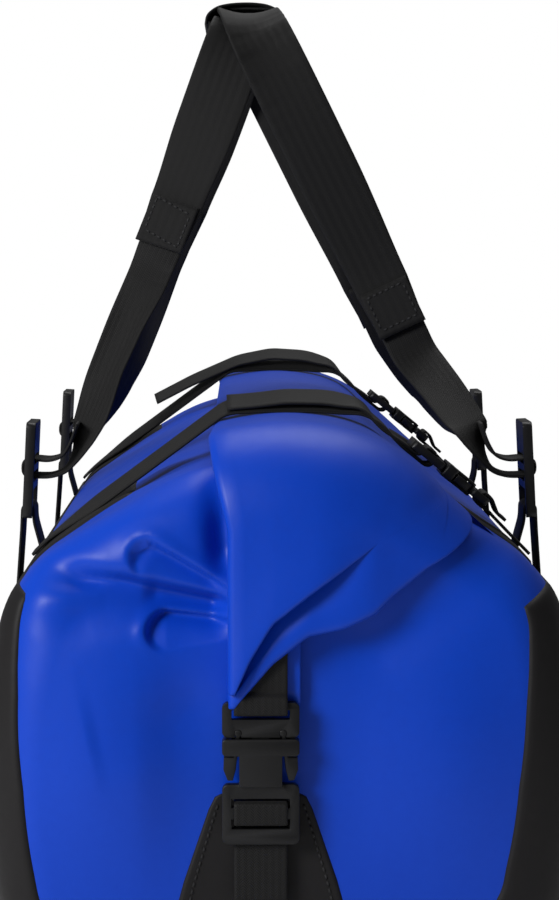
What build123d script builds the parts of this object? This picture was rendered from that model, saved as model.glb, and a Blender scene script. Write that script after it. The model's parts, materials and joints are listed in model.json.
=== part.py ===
from build123d import *
from math import cos, radians, sin
import os

# Roll-top dry duffel of about 40 litres, millimetres. The bag stands on its floor at z = 0, its length runs
# along Y, and its mouth is rolled down along the top. The two ends are mirror images of each other.

# ---- driving dimensions ----
bag_length = 556
floor_width = 160
# the right side's arcs from the floor up: radius, and the direction reached, in degrees from level
side_turns = [(58, 80), (317, 103), (60, 146), (600, 151)]
end_round = 28
fabric = 1.2
sheet = 1.3
gap = 0.3
floor_lift = sheet + gap

roll_left, roll_right = -29, 44
roll_thick = 16
tongue_tip = 149
strip_width, strip_thick = 25, 1.4

web = 25
narrow_web = 20
band_width = 34
web_thick = 1.6
band_thick = 2.2
facet = 0.5  # room for the chords of a web that follows a curve in straight runs
sharp = 1.0  # centreline radius where a web folds round a bar

end_buckle_x = -11
end_buckle_z = 110.8
end_buckle_out = bag_length / 2 + 7.8
strap_y = 195
shoulder_x, shoulder_z = 90.9, 237.2
shoulder_slope = 39.1  # degrees that the right shoulder falls, under the strap buckles

lock_x, lock_y, lock_z = 131, 130, 218
lock_lean = 3  # degrees that a ladder-lock leans inwards
bar_r = 2.0
running = 0.08

grip_x = -17
grip_top = 475.7
os.makedirs("parts", exist_ok=True)


# ---- finishing ----
def finish(piece, name):
    """Label a finished piece and write it."""
    piece.part.label = name
    export_step(piece.part, f"parts/{name}.step")


def finish_both(piece, name, first, second, about):
    """Write a piece, and its mirror image on the bag's other side or end."""
    finish(piece, f"{first}{name}")
    with BuildPart() as twin:
        mirror(piece.part, about=about)
    finish(twin, f"{second}{name}")


def finish_ends(piece, name):
    finish_both(piece, name, "near_", "far_", Plane.XZ)


# ---- the bag's cross-section ----
def side_wire(inset):
    """The right side from the floor to the top, arc by arc, moved inwards all along by inset."""
    heading, spot = 0, (floor_width / 2, floor_lift + inset)
    with BuildLine(Plane.XY, mode=Mode.PRIVATE) as side:
        for radius, reached in side_turns:
            start_run = (cos(radians(heading)), sin(radians(heading)))
            arc = JernArc(spot, start_run, radius - inset, reached - heading)
            heading, spot = reached, arc @ 1
        # the last arc lies level on the middle line
        start_run = (cos(radians(heading)), sin(radians(heading)))
        JernArc(spot, start_run, spot.X / sin(radians(heading)), 180 - heading)
    return side.wires()[0]


bag_side = side_wire(0)
bag_top = (bag_side @ 1).Y


def side_point(height, lift):
    """Point at a height on the right side, lifted off the shell along its normal."""
    low, high = 0.0, 1.0
    for _ in range(40):
        middle = (low + high) / 2
        low, high = (middle, high) if (bag_side @ middle).Y < height else (low, middle)
    spot, run = bag_side @ low, bag_side % low
    return spot.X + lift * run.Y, spot.Y - lift * run.X


def left_of(points):
    return [(-x, z) for x, z in points]


def cross_section(inset):
    """The bag's cross-section, made smaller all round by inset, with x across and y up."""
    side = side_wire(inset)
    with BuildSketch(Plane.XY, mode=Mode.PRIVATE) as outline:
        with BuildLine():
            add(side)
            mirror(side, about=Plane.YZ)
            Line((-floor_width / 2, floor_lift + inset), (floor_width / 2, floor_lift + inset))
        make_face()
    return outline.sketch


def full_body(inset):
    """Closed solid of the bag with rounded end edges, made smaller all round by inset."""
    with BuildPart(mode=Mode.PRIVATE) as body:
        with BuildSketch(Plane.XZ):
            add(cross_section(inset))
        extrude(amount=bag_length / 2 - inset, both=True)
        fillet(body.faces().filter_by(Axis.Y).edges(), end_round - inset)
    return body.part


with BuildPart() as bag_shell:
    add(full_body(0))
    add(full_body(fabric), mode=Mode.SUBTRACT)
finish(bag_shell, "bag_shell")


def lining(inner, outer, low, high, left=0):
    """Outline of a sheet that hugs the bag between two lifts off the shell and two heights."""
    right = bag_length / 2
    with BuildSketch(Plane.XY, mode=Mode.PRIVATE) as skin:
        add(cross_section(-outer))
        add(cross_section(-inner), mode=Mode.SUBTRACT)
        with Locations(((left + right) / 2, (low + high) / 2)):
            Rectangle(right - left, high - low, mode=Mode.INTERSECT)
    return skin.sketch


# ---- black panels: both sides and the floor ----
panel_length = bag_length - 2 * end_round
panel_low, panel_high = 26, 196
with BuildPart() as side_panel:
    with BuildSketch(Plane.XZ):
        add(lining(gap, gap + sheet, panel_low, panel_high))
    extrude(amount=panel_length / 2, both=True)
finish_both(side_panel, "", "side_panel_right", "side_panel_left", Plane.YZ)

with BuildPart() as bottom_panel:
    with BuildSketch(Plane.XZ):
        add(lining(gap, gap + sheet, -sheet, panel_low - 0.5, -bag_length / 2))
    extrude(amount=panel_length / 2, both=True)
finish(bottom_panel, "bottom_panel")

# ---- rolled mouth, with its two ends folded down over the end panels ----
fold_y = bag_length / 2 + gap + roll_thick / 2
fold_z = bag_top + gap + roll_thick / 2
fold_radius = end_round + gap + roll_thick / 2
web_pocket = 80

with BuildPart() as closure_roll:
    with BuildSketch(Plane.YZ.offset(roll_left)):
        with BuildLine():
            FilletPolyline(
                (-fold_y, tongue_tip),
                (-fold_y, fold_z),
                (fold_y, fold_z),
                (fold_y, tongue_tip),
                radius=fold_radius,
            )
        trace(line_width=roll_thick)
    extrude(amount=roll_right - roll_left)
    # the folded corner runs up from the tongue's tip to its far side
    with BuildSketch(Plane.XZ):
        with BuildLine():
            Polyline(
                (roll_left, tongue_tip - 1),
                (roll_right + 1, tongue_tip - 1),
                (roll_right + 1, tongue_tip + 67),
                close=True,
            )
        make_face()
    extrude(amount=bag_length, both=True, mode=Mode.SUBTRACT)
    # pockets that the end webs are sewn into
    for side in (-1, 1):
        with BuildSketch(Plane.XZ.offset(side * end_buckle_out)):
            with Locations((end_buckle_x, tongue_tip)):
                Rectangle(web + 0.6, 2 * (end_buckle_z + web_pocket - tongue_tip))
        extrude(amount=2, both=True, mode=Mode.SUBTRACT)
    # slots for the two stiffener strips along the mouth
    with BuildSketch(Plane.XZ):
        with GridLocations(0, 5, 1, 2):
            with Locations(((roll_left + roll_right) / 2, fold_z)):
                Rectangle(strip_width + 2 * gap, strip_thick + 2 * gap)
    extrude(amount=bag_length / 2 - end_round, both=True, mode=Mode.SUBTRACT)
finish(closure_roll, "closure_roll")

for name, level in (("mouth_strip_lower", -2.5), ("mouth_strip_upper", 2.5)):
    with BuildPart() as mouth_strip:
        with BuildSketch(Plane.XZ):
            with Locations(((roll_left + roll_right) / 2, fold_z + level)):
                Rectangle(strip_width, strip_thick)
        extrude(amount=bag_length / 2 - end_round - gap, both=True)
    finish(mouth_strip, name)


# ---- webbing ----
def strip_of_web(route, plane, width, bend=sharp):
    """Webbing along a route of points in a plane, as wide as given, centred on the plane."""
    with BuildPart(mode=Mode.PRIVATE) as strip:
        with BuildSketch(plane):
            with BuildLine():
                FilletPolyline(*route, radius=bend)
            trace(line_width=web_thick)
        extrude(amount=width / 2, both=True)
    return strip.part


def side_view(origin, lean):
    """Turns (along, above) of a buckle seen from its side into its plane's coordinates.

    Along points from the socket to the male half, lean degrees from upright towards the plane's -x.
    """
    up = (-sin(radians(lean)), cos(radians(lean)))

    def spot(along, above, out=1):
        right = (up[1] * out, -up[0] * out)
        return (origin[0] + along * up[0] + above * right[0], origin[1] + along * up[1] + above * right[1])

    return spot


def threaded(spot, inner, outer, half, come, tail, out=1):
    """Route of a web that comes in behind a frame, goes over its middle bar and leaves under itself."""
    front, under, behind = half + 1.1, -half - 1.1, -half - 2.9
    return [
        spot(come, behind, out),
        spot(inner, behind, out),
        spot(inner, front, out),
        spot(outer, front, out),
        spot(outer, under, out),
        spot(tail, under, out),
    ]


# ---- side-release buckles, drawn for 25 mm webbing and scaled to the web ----
frame_half = 2.5
body_half = 4.5
cavity_half = 2.8


def slots(spans, width, size):
    """Slots across a frame, each from one distance along the buckle to another."""
    for low, high in spans:
        with Locations((0, (low + high) / 2 * size)):
            Rectangle(width * size, (high - low) * size, mode=Mode.SUBTRACT)


def male_half(plane, size, top, spans):
    """Web frame and centre guide of a side-release buckle, with the pivots of its two prongs."""
    low = 17 * size
    with BuildPart(mode=Mode.PRIVATE) as male:
        with BuildSketch(plane):
            with Locations((0, (top * size + low) / 2)):
                RectangleRounded(36 * size, top * size - low, 3 * size)
            slots(spans, 27, size)
            with Locations((-10.5 * size, 19 * size), (10.5 * size, 19 * size)):
                Circle(1.7 * size + running, mode=Mode.SUBTRACT)
            with Locations((-10.5 * size, low), (10.5 * size, low)):
                Rectangle(2.9 * size, 3 * size, mode=Mode.SUBTRACT)
        extrude(amount=frame_half * size, both=True)
        with BuildSketch(plane):
            with Locations((0, 7.5 * size)):
                RectangleRounded(8 * size, 22 * size, 2 * size)
        extrude(amount=2 * size, both=True)
    return male.part


def socket_half(plane, size, bottom, spans):
    """Socket: collar that the prongs pass and catch under, two neck plates, web frame."""
    with BuildPart(mode=Mode.PRIVATE) as socket:
        with BuildSketch(plane):
            with Locations((0, 12.6 * size)):
                RectangleRounded(36 * size, 8 * size, 2 * size)
            with Locations((0, 2 * size)):
                Rectangle(20 * size, 16 * size)
        extrude(amount=body_half * size, both=True)
        with BuildSketch(plane):
            with Locations((0, (bottom - 5) / 2 * size)):
                RectangleRounded(36 * size, (-5 - bottom) * size, 3 * size)
            slots(spans, 27, size)
        extrude(amount=frame_half * size, both=True)
        with BuildSketch(plane):
            with Locations((0, 7 * size)):
                Rectangle(27 * size, 22 * size)
        extrude(amount=cavity_half * size, both=True, mode=Mode.SUBTRACT)
    return socket.part


def prong(plane, size, side):
    """Sprung prong: round root, thin arm, and a hooked head that stands in the socket's side window."""
    outline = [
        (9.7, 18.5),
        (11.4, 18.5),
        (12.4, 12),
        (12.7, 8.0),
        (17.2, 7.8),
        (17.4, 2),
        (15.5, -3),
        (13.0, -3.2),
        (11.6, 2),
        (10.6, 9),
    ]
    with BuildPart(mode=Mode.PRIVATE) as arm:
        with BuildSketch(plane):
            with BuildLine():
                Polyline(*[(side * x * size, y * size) for x, y in outline], close=True)
            make_face()
            with Locations((side * 10.5 * size, 19 * size)):
                Circle(1.7 * size)
        extrude(amount=frame_half * size, both=True)
    return arm.part


def write_buckle(name, plane, size, male_top, male_slots, socket_bottom, socket_slots):
    with BuildPart() as male:
        add(male_half(plane, size, male_top, male_slots))
    finish_ends(male, f"{name}_male")
    with BuildPart() as socket:
        add(socket_half(plane, size, socket_bottom, socket_slots))
    finish_ends(socket, f"{name}_socket")
    for side, word in ((-1, "left"), (1, "right")):
        with BuildPart() as arm:
            add(prong(plane, size, side))
        finish_ends(arm, f"{name}_prong_{word}")


plain_male = (33.5, [(25.5, 30)])
adjuster_male = (42, [(22, 26), (31, 35)])
plain_socket = (-18, [(-14.5, -10)])
adjuster_socket = (-33.5, [(-16, -12), (-26, -21.5)])

# ---- closure at the two ends: patch, buckle, webs ----
end_face = Plane(origin=(end_buckle_x, -end_buckle_out, end_buckle_z), x_dir=(1, 0, 0), z_dir=(0, -1, 0))
write_buckle("end", end_face, 1, *plain_male, *adjuster_socket)

patch_top, patch_mid, patch_low = 100, 57, 31
with BuildPart() as end_patch:
    with BuildSketch(Plane.XZ.offset(bag_length / 2 + gap)):
        with BuildLine():
            Polyline(
                (end_buckle_x - 23, patch_top),
                (end_buckle_x + 23, patch_top),
                (end_buckle_x + 37, patch_mid),
                (end_buckle_x + 45, patch_low),
                (end_buckle_x - 45, patch_low),
                (end_buckle_x - 37, patch_mid),
                close=True,
            )
        make_face()
    extrude(amount=sheet - gap)
finish_ends(end_patch, "end_patch")

end_side = side_view((-end_buckle_out, end_buckle_z), 0)
end_web_plane = Plane.YZ.offset(end_buckle_x)
around_bar = frame_half + 1.1
with BuildPart() as roll_web:
    route = [
        (web_pocket - 1, 0.9),
        (37.8, 0.9),
        (35.5, around_bar),
        (28, around_bar),
        (28, -around_bar),
        (35.5, -around_bar),
        (37.8, -0.9),
        (web_pocket - 1, -0.9),
    ]
    add(strip_of_web([end_side(a, b, -1) for a, b in route], end_web_plane, web))
finish_ends(roll_web, "roll_web")

with BuildPart() as anchor_web:
    add(strip_of_web(threaded(end_side, -14, -23.7, frame_half, -76, -62, -1), end_web_plane, web))
finish_ends(anchor_web, "anchor_web")

# ---- compression straps over the roll, buckled on the right shoulder ----
strap_size = narrow_web / web
strap_plane = Plane.XZ.offset(strap_y)
slope = radians(shoulder_slope)
shoulder_face = Plane(
    origin=(shoulder_x, -strap_y, shoulder_z), x_dir=(0, 1, 0), z_dir=(sin(slope), 0, cos(slope))
)
write_buckle("strap", shoulder_face, strap_size, *adjuster_male, *plain_socket)

strap_side = side_view((shoulder_x, shoulder_z), 90 - shoulder_slope)
strap_half = frame_half * strap_size
patch_lift = gap + 1.0
strap_lift = patch_lift + gap + facet + web_thick / 2
roll_top = fold_z + roll_thick / 2
over = gap + web_thick / 2
doubled = over + web_thick + gap

left_shoulder = left_of([side_point(h, strap_lift) for h in (201, 208, 217, 228, 238, 246)])
over_roll = [
    (roll_left - over, bag_top + 3),
    (roll_left - over, roll_top + over),
    (roll_right + 2, roll_top + over),
]
tail_back = [(roll_right + 3, roll_top + doubled), (roll_left + 6, roll_top + doubled)]
through_male = threaded(strap_side, 24 * strap_size, 33 * strap_size, strap_half, 38, 38.1)
with BuildPart() as strap:
    add(strip_of_web(left_shoulder + over_roll + through_male + tail_back, strap_plane, narrow_web))
finish_ends(strap, "strap")

loop_out = strap_half + 1.1
with BuildPart() as strap_anchor:
    slot_at = -12.2 * strap_size
    sewn = [side_point(h, strap_lift) for h in (201, 206)]
    loop = [(-19, -loop_out), (slot_at, -loop_out), (slot_at, loop_out), (-17, loop_out), (-21, -1.2), (-34, -2)]
    add(strip_of_web(sewn + [strap_side(a, b) for a, b in loop], strap_plane, narrow_web))
finish_ends(strap_anchor, "strap_anchor")

with BuildPart() as strap_patches:
    for middle in (-strap_y, strap_y):
        with BuildSketch(Plane.XZ.offset(middle)):
            add(lining(gap, patch_lift, panel_high + 3, 229))
        extrude(amount=20, both=True)
finish_both(strap_patches, "", "strap_patches_right", "strap_patches_left", Plane.YZ)

# ---- ladder-locks and the side webs that hold them ----
lock_side = side_view((lock_x, lock_z), lock_lean)
lock_plane = Plane(
    origin=(lock_x, -lock_y, lock_z),
    x_dir=(0, 1, 0),
    z_dir=(cos(radians(lock_lean)), 0, sin(radians(lock_lean))),
)
side_web_plane = Plane.XZ.offset(lock_y)
with BuildPart() as ladder_lock:
    with BuildSketch(lock_plane):
        with Locations((0, 21)):
            RectangleRounded(32, 50, 3)
        slots([(-5, 11), (15, 20), (24, 29)], 26.6, 1)
    extrude(amount=frame_half, both=True)
    with BuildSketch(side_web_plane):
        with Locations((lock_x, lock_z)):
            Circle(bar_r)
    extrude(amount=14, both=True)

with BuildPart() as side_web:
    lift = gap + sheet + gap + facet + web_thick / 2
    hugging = [side_point(h, lift) for h in (58, 80, 105, 130, 155, 175, 190)]
    folded = [side_point(h, lift + 0.95 * web_thick) for h in (58, 66, 74)]
    add(strip_of_web(hugging + [(lock_x + bar_r + running + web_thick / 2, lock_z - 1)], side_web_plane, web))
    add(strip_of_web(folded, side_web_plane, web))
    with BuildSketch(side_web_plane):
        with Locations((lock_x, lock_z)):
            Circle(bar_r + running + web_thick)
    extrude(amount=web / 2, both=True)
    with BuildSketch(side_web_plane):
        with Locations((lock_x, lock_z)):
            Circle(bar_r + running)
    extrude(amount=web / 2, both=True, mode=Mode.SUBTRACT)

for piece, name in ((ladder_lock, "ladder_lock"), (side_web, "side_web")):
    with BuildPart() as left_one:
        mirror(piece.part, about=Plane.YZ)
    finish_ends(piece, f"right_{name}")
    finish_ends(left_one, f"left_{name}")


# ---- handles ----
def ribbon(places, width, thick):
    """Flat strap through places, each a centre, the direction across the strap and the one along it."""
    with BuildPart(mode=Mode.PRIVATE) as strip:
        for centre, across, along in places:
            with BuildSketch(Plane(origin=centre, x_dir=across, z_dir=along)):
                Rectangle(width, thick)
        loft(ruled=True)
    return strip.part


def flipped(v):
    return Vector(v.X, -v.Y, v.Z)


def far_half(places):
    """The same places at the far end, met in the opposite order."""
    return [(flipped(c), flipped(across), flipped(along) * -1) for c, across, along in reversed(places)]


tab_length, tab_width = 25, band_width - 6
stack = web_thick / 2 + gap + band_thick / 2


def write_handle(word, side, tab, across, leg, grip_end):
    """One carry handle: wide band, fold tabs, and a narrow web at each end down to its ladder-lock."""
    tab, across, leg = Vector(*tab), Vector(*across).normalized(), Vector(*leg).normalized()
    face = leg.cross(across).normalized()
    if face.Y > 0:
        face = face * -1
    low, high = tab - leg * (tab_length / 2), tab + leg * (tab_length / 2)
    with BuildLine(mode=Mode.PRIVATE):
        rise = Spline(tuple(high), tuple(grip_end), tangents=(tuple(leg), (0, 1, 0)))
    near = [(low, across, leg)]
    for step in range(9):
        part_way = step / 8
        width_way = across * (1 - part_way) + Vector(1, 0, 0) * part_way
        near.append((rise @ part_way, width_way, rise % part_way))
    with BuildPart() as band:
        add(ribbon(near + far_half(near), band_width, band_thick))
    finish(band, f"{word}_handle_band")

    with BuildPart() as tabs:
        places = [(end + face * stack, across, leg) for end in (low, high)]
        add(ribbon(places, tab_width, web_thick))
        add(ribbon(far_half(places), tab_width, web_thick))
    finish(tabs, f"{word}_handle_tabs")

    spot = side_view((side * lock_x, lock_z), side * lock_lean)
    top = spot(50, -frame_half - 2.9, side)
    lean = radians(lock_lean)
    start = (Vector(top[0], -lock_y, top[1]), Vector(0, side, 0), Vector(-side * sin(lean), 0, cos(lean)))
    places = [start, (low - face * stack, across, leg), (high - face * stack, across, leg)]
    with BuildPart() as handle_web:
        route = threaded(spot, 17.5, 26.5, frame_half, 50, 46, side)
        add(strip_of_web(route, side_web_plane, web))
        add(ribbon(places, web, web_thick))
    finish_ends(handle_web, f"{word}_handle_web")


left_grip = grip_top - band_thick * 1.5 - 1.6
right_grip = grip_top - band_thick / 2
write_handle("left", -1, (-58, -85, 377), (0.87, -0.25, -0.41), (0.36, 0.22, 0.91), (grip_x, -52, left_grip))
write_handle("right", 1, (60, -85, 330), (0.9, 0.0, 0.33), (-0.33, 0.165, 0.93), (grip_x, -59, right_grip))

# ---- wrap that holds the two bands together ----
wrap_length = 96
wrap_gap = 3.0
hook_thick = 1.2
wrap_right = grip_x + band_width / 2 + 1
hinge_x, hinge_z = grip_x - band_width / 2 - 4.5, grip_top - 2
hem_r = 1.5
sleeve_thick, sleeve_side = 1.2, 1.2
flap_z = grip_top + wrap_gap + hook_thick + web_thick / 2
with BuildPart() as wrap_base:
    with BuildSketch(Plane.XZ):
        with BuildLine():
            FilletPolyline(
                (grip_x + band_width / 2, left_grip - band_thick / 2 - gap - web_thick / 2),
                (hinge_x + 1.5, left_grip - band_thick / 2 - gap - web_thick / 2),
                (hinge_x, hinge_z),
                radius=sharp,
            )
        trace(line_width=web_thick)
        with Locations((hinge_x, hinge_z)):
            Circle(hem_r)
    extrude(amount=wrap_length / 2, both=True)
finish(wrap_base, "wrap_base")

with BuildPart() as wrap_flap:
    with BuildSketch(Plane.XZ):
        with BuildLine():
            FilletPolyline(
                (hinge_x - 0.3, hinge_z + hem_r + sleeve_thick),
                (hinge_x + 3, flap_z),
                (wrap_right, flap_z),
                radius=2,
            )
        trace(line_width=web_thick)
        with Locations((hinge_x, hinge_z)):
            Circle(hem_r + running + sleeve_thick)
            Circle(hem_r + running, mode=Mode.SUBTRACT)
            # the sleeve is cut short, so that it clears the base when the flap turns open
            with Locations((0, -3), (-sleeve_side - 3, 0)):
                Rectangle(6, 6, mode=Mode.SUBTRACT)
    extrude(amount=wrap_length / 2, both=True)
finish(wrap_flap, "wrap_flap")

with BuildPart() as hook_strip:
    with BuildSketch(Plane.XZ):
        with Locations((grip_x + 3, grip_top + wrap_gap + hook_thick / 2)):
            Rectangle(band_width - 10, hook_thick)
    extrude(amount=wrap_length / 2 - 6, both=True)
finish(hook_strip, "hook_strip")
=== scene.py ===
# %% [markdown]
# # A roll-top dry duffel
# The bag lies on its floor, its length runs along Y, and its mouth is rolled down along the top. The hard
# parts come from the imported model. Everything sewn or welded is made here, as surfaces worked out with numpy,
# because coated cloth and webbing never keep the plain shape of a solid.

import json
import math

import bmesh
import bpy
import numpy as np
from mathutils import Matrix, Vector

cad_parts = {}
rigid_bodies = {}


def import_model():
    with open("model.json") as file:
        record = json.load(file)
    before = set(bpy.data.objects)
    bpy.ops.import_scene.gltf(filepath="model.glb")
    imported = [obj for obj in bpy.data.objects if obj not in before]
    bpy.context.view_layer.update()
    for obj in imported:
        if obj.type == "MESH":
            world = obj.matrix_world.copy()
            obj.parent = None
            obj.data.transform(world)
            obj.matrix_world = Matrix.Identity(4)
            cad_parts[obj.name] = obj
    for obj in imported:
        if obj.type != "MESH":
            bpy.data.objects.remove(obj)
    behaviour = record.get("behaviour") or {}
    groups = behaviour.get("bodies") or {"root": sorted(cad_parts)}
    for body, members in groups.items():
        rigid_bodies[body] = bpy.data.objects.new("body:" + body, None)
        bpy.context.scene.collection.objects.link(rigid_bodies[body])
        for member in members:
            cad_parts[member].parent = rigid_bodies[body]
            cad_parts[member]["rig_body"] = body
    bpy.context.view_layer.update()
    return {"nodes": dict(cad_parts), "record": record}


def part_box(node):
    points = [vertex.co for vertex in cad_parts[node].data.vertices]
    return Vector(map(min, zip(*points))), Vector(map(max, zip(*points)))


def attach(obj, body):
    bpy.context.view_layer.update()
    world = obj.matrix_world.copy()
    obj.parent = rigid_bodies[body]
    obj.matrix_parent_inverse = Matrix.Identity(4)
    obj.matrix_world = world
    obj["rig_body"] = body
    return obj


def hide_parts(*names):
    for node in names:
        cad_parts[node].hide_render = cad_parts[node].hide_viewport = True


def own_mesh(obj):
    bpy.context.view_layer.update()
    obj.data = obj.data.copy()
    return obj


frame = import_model()
mm = 0.001
ENDS = (("near", -1), ("far", 1))
SIDES = (("left", -1), ("right", 1))
print("pieces in the frame:", len(frame["nodes"]))

# %% [markdown]
# ## Camera
# The picture is a close view of one end, from a little above the roll. A long lens keeps the bag's sides
# nearly parallel, and the camera looks down five degrees, so that the roll's top just shows.

# %% Camera
lens_data = bpy.data.cameras.new("Camera")
lens_data.sensor_fit = "VERTICAL"
lens_data.sensor_height = 36
lens_data.lens = 96.3
camera = bpy.data.objects.new("Camera", lens_data)
camera.location = (-0.020, -1.390, 0.357)
camera.rotation_euler = (math.radians(90 - 4.93), 0, math.radians(-0.92))
bpy.context.scene.collection.objects.link(camera)
bpy.context.scene.camera = camera

# %% [markdown]
# ## Floor and studio light
# A pale sheet of paper and a white surround give the plain ground of a product picture. Three soft lamps shape
# the bag: the strongest from the near left, so that it rakes over the creases, a weak one from the right, and
# one over the top. The surround looks white to the camera, but lights the bag with only a small part of that.

# %% Floor
floor_half, floor_gap = 0.8, 0.6 * mm
corners = [(-1, -1), (1, -1), (1, 1), (-1, 1)]
floor_mesh = bpy.data.meshes.new("studio_floor")
floor_mesh.from_pydata([(x * floor_half, y * floor_half, -floor_gap) for x, y in corners], [], [(0, 1, 2, 3)])
floor = bpy.data.objects.new("studio_floor", floor_mesh)
bpy.context.scene.collection.objects.link(floor)


# %% Lamps
def soft_lamp(name, place, aim, size, power):
    """A square soft lamp at place, turned so that its face looks at the point aim."""
    data = bpy.data.lights.new(name, "AREA")
    data.size, data.energy = size, power
    lamp = bpy.data.objects.new(name, data)
    lamp.location = place
    direction = np.subtract(aim, place)
    flat = math.hypot(direction[0], direction[1])
    lamp.rotation_euler = (math.atan2(flat, -direction[2]), 0, math.atan2(-direction[0], direction[1]))
    bpy.context.scene.collection.objects.link(lamp)
    return lamp


soft_lamp("key_lamp", (-1.0, -1.1, 0.75), (-0.05, -0.25, 0.15), 0.5, 19.5)
soft_lamp("fill_lamp", (1.9, -1.2, 0.7), (0.05, 0, 0.15), 1.3, 0.8)
soft_lamp("top_lamp", (0.1, 0.5, 1.9), (0, 0, 0.2), 1.3, 20)

# %% White surround
surround_light, surround_seen = 0.13, 1.0
world = bpy.data.worlds.new("studio")
world.use_nodes = True
nodes, links = world.node_tree.nodes, world.node_tree.links
seen, strength = nodes.new("ShaderNodeLightPath"), nodes.new("ShaderNodeMapRange")
strength.inputs["To Min"].default_value = surround_light
strength.inputs["To Max"].default_value = surround_seen
links.new(seen.outputs["Is Camera Ray"], strength.inputs["Value"])
links.new(strength.outputs["Result"], nodes["Background"].inputs["Strength"])
nodes["Background"].inputs["Color"].default_value = (1, 1, 1, 1)
bpy.context.scene.world = world
bpy.context.scene.view_settings.view_transform = "Standard"

# %% [markdown]
# ## Finishes
# Every finish is a small tree of nodes. Written as expressions, the maths of a weave reads like a formula, so
# one class wraps a value on its way through the nodes, and one method adds any other node.


# %% Shader maths
dull_gloss = 0.22


class Wire:
    """A value on its way through a finish. Arithmetic on it adds Math nodes."""

    def __init__(self, finish, socket):
        self.finish, self.socket = finish, socket

    def maths(self, operation, *others):
        return self.finish.node("Math", {"operation": operation}, [self, *others])

    def __add__(self, other):
        return self.maths("ADD", other)

    def __sub__(self, other):
        return self.maths("SUBTRACT", other)

    def __rsub__(self, other):
        return self.finish.node("Math", {"operation": "SUBTRACT"}, [other, self])

    def __mul__(self, other):
        return self.maths("MULTIPLY", other)

    __radd__ = __add__
    __rmul__ = __mul__

    def wave(self, length):
        """A wave from 0 to 1 that repeats at every length of this value."""
        return (self * (2 * math.pi / length)).maths("SINE") * 0.5 + 0.5

    def fold(self, length):
        """Zigzag from 0 up to length and back."""
        return self.maths("PINGPONG", length)


class Finish:
    """One material and the nodes that make it."""

    def __init__(self, name, **constants):
        self.material = bpy.data.materials.new(name)
        self.material.use_nodes = True
        self.shader = self.material.node_tree.nodes["Principled BSDF"]
        self.shader.inputs["Specular IOR Level"].default_value = dull_gloss
        for socket, value in constants.items():
            self.shader.inputs[socket.replace("_", " ").title()].default_value = value

    def node(self, kind, settings=None, inputs=(), output=0):
        """Adds a node: its settings first, then what its sockets read, and gives back one output."""
        made = self.material.node_tree.nodes.new("ShaderNode" + kind)
        for setting, value in (settings or {}).items():
            if setting == "stops":
                ramp = made.color_ramp
                while len(ramp.elements) < len(value):
                    ramp.elements.new(0.5)
                for element, (place, colour) in zip(ramp.elements, value):
                    element.position, element.color = place, colour
            else:
                setattr(made, setting, value)
        for socket, value in inputs.items() if isinstance(inputs, dict) else enumerate(inputs):
            self.feed(made.inputs[socket], value)
        return Wire(self, made.outputs[output])

    def feed(self, socket, value):
        if isinstance(value, Wire):
            self.material.node_tree.links.new(value.socket, socket)
        else:
            socket.default_value = value

    def place(self):
        return self.node("TexCoord", output="Object")

    def noise(self, scale, detail=2.0, roughness=0.5, place=None):
        """Cloudy noise from 0 to 1, with scale in clouds per metre."""
        sockets = {"Vector": place or self.place(), "Scale": scale, "Detail": detail, "Roughness": roughness}
        return self.node("TexNoise", {}, sockets)

    def mix(self, mask, first, second):
        """Colour between first, where the mask is 0, and second, where it is 1."""
        sockets = {0: mask, 6: (*first, 1) if isinstance(first, tuple) else first,
                   7: (*second, 1) if isinstance(second, tuple) else second}
        return self.node("Mix", {"data_type": "RGBA"}, sockets, output=2)

    def finished(self, colour, roughness, height, depth):
        """Joins colour, roughness and a height map, depth metres high, to the shader."""
        self.feed(self.shader.inputs["Base Color"], colour)
        self.feed(self.shader.inputs["Roughness"], roughness)
        bump = self.node("Bump", {}, {"Strength": 1.0, "Distance": depth, "Height": height})
        self.feed(self.shader.inputs["Normal"], bump)
        return self.material


# %% [markdown]
# ## Coated cloth
# The body is cloth laminated in coloured plastic. Close up it has a fine pebbled skin, it bends in long soft
# ripples, and its satin gloss pales where the surface turns away. Noise at four sizes, read in the object's own
# place, gives the ripples, small creases, pebbles and the uneven rub of handling.


# %% Coated cloth
def coated_cloth(name, colour, shade, roughness, sheen):
    cloth = Finish(name, sheen_weight=sheen, sheen_roughness=0.45)
    ripples = cloth.noise(14, 1.5)
    creases = cloth.noise(55, 2.0, 0.55)
    pebbles = cloth.noise(1500, 1.0)
    rubbed = cloth.noise(240, 3.0, 0.6)
    height = ripples * 0.60 + creases * 0.10 + pebbles * 0.012
    tone = cloth.mix(rubbed * 0.5 + ripples * 0.4, colour, shade)
    gloss = rubbed * 0.10 + pebbles * 0.05 + (roughness - 0.075)
    return cloth.finished(tone, gloss, height, 2.2 * mm)


blue_cloth = coated_cloth("blue_coated_cloth", (0.0008, 0.050, 0.50), (0.0005, 0.038, 0.42), 0.43, 0.02)
black_cloth = coated_cloth("black_coated_cloth", (0.0090, 0.0082, 0.0088), (0.006, 0.0055, 0.006), 0.60, 0.01)

# %% [markdown]
# ## Webbing
# Flat webbing shows fine ribs along its length, crossed by slanting floats of yarn that turn back at every
# rib, like a herringbone. Each web carries a map called Weave that measures metres along it and across it, so
# one zigzag of the across value, added to the along value, draws the floats at their real size.


# %% Webbing
slant = 1.0  # how far a float runs along the web for each metre across it


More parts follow.
